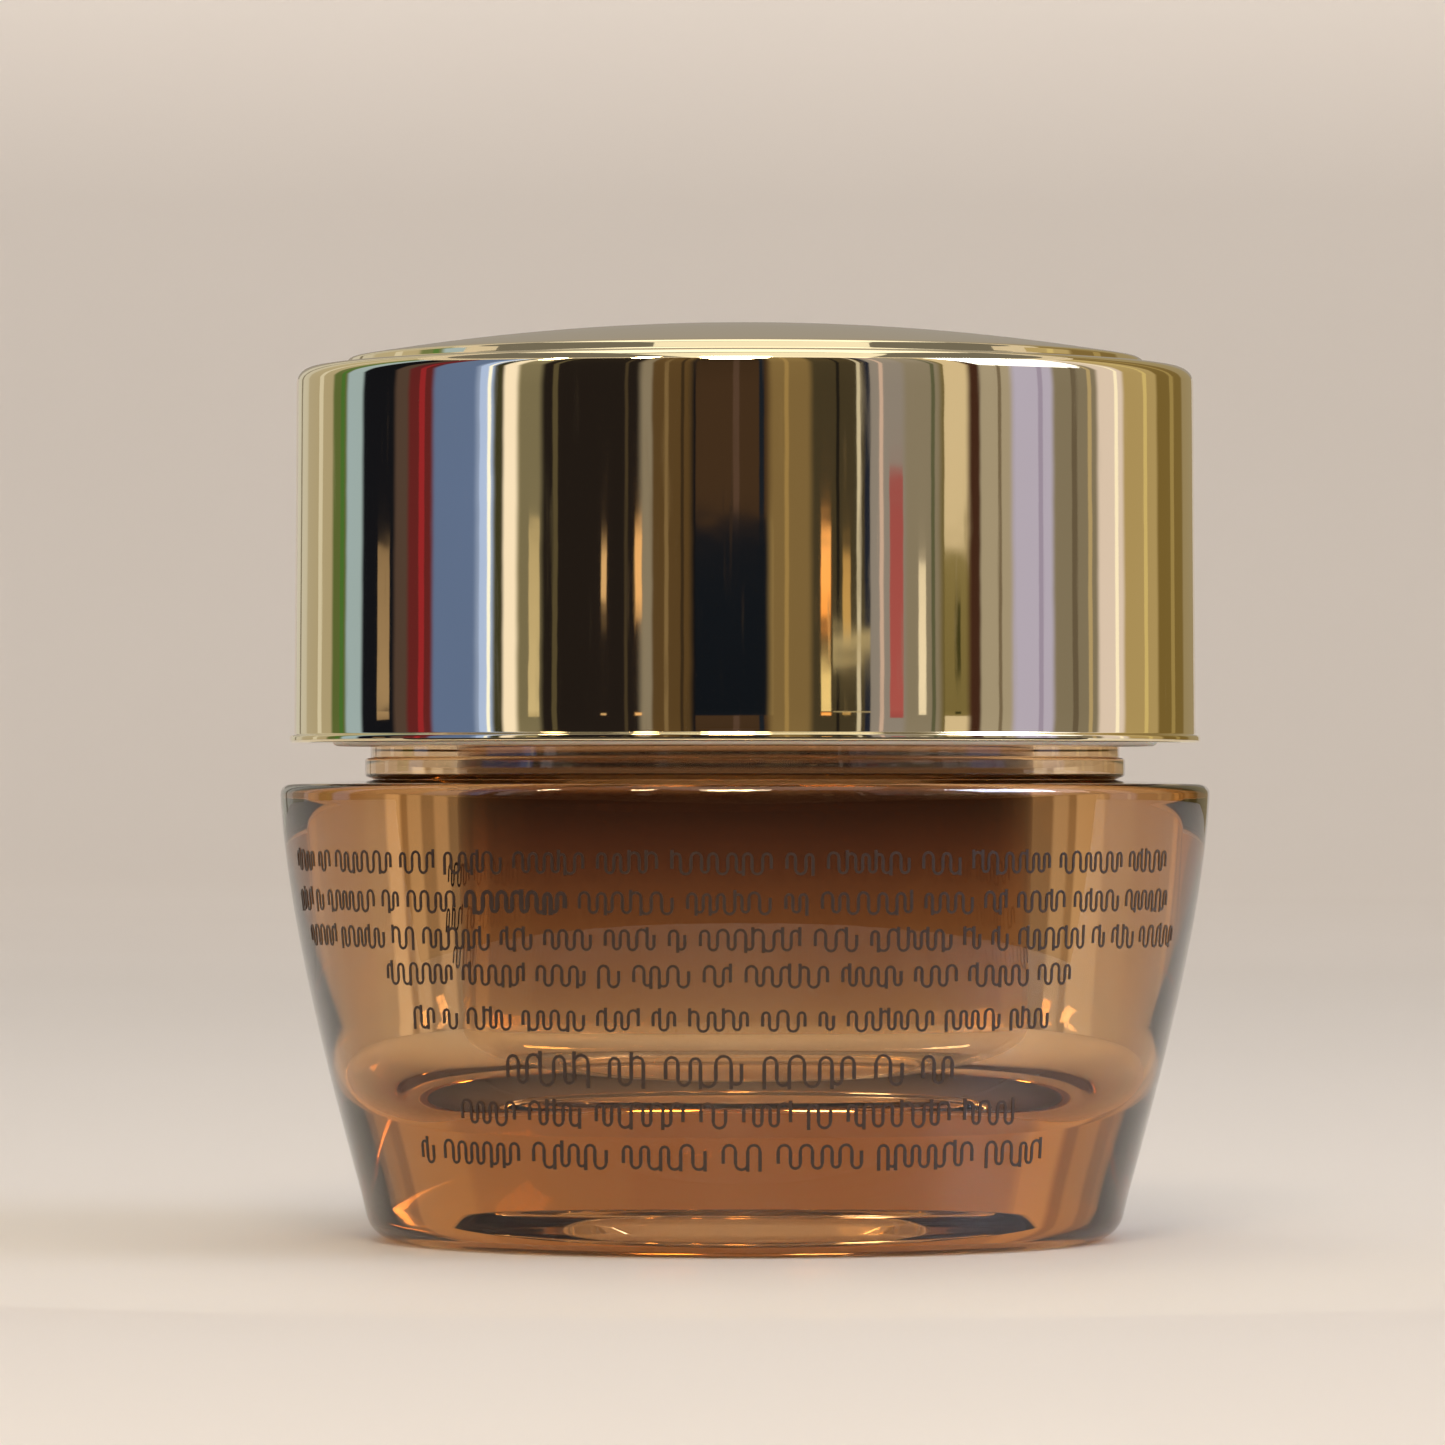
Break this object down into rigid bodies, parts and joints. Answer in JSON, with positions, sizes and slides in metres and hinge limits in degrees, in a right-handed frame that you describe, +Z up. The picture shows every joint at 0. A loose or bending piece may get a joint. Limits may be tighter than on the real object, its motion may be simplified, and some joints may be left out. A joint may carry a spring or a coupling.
{
  "type": "cosmetic jar",
  "caption": "Small heavy-walled amber jar with a curved, tapering side and a mirror-gold screw cap with a low domed top; the cap unscrews and lifts clear.",
  "frame": {"origin": "on the jar's axis, on the surface that the jar stands on", "axes": "+Z up along the jar's axis, through the cap; -Y is the side seen from the front"},
  "size_m": [0.036, 0.036, 0.0354],
  "materials": {
    "amber_glass": "clear amber pressed glass, fire-polished",
    "gold_shell": "ABS, vacuum-metallised and lacquered pale mirror gold",
    "natural_plastic": "moulded polypropylene, natural white",
    "white_foam": "expanded polyethylene sheet, die cut"
  },
  "bodies": {
    "jar": {"jar_body": "amber_glass"},
    "liner": {"cap_liner": "white_foam"},
    "cap": {"cap_shell": "gold_shell", "cap_insert": "natural_plastic"}
  },
  "joints": [
    {"name": "cap_lift", "type": "slide", "parent": "jar", "child": "liner", "axis": [0, 0, 1], "range_m": [0, 0.012]},
    {"name": "cap_turn", "type": "hinge", "parent": "liner", "child": "cap", "pos_m": [0, 0, 0], "axis": [0, 0, 1], "range_deg": [0, 1440]}
  ],
  "couplings": [
    {"joint": "cap_lift", "follows": "cap_turn", "m_per_rad": 0.00047746}
  ]
}
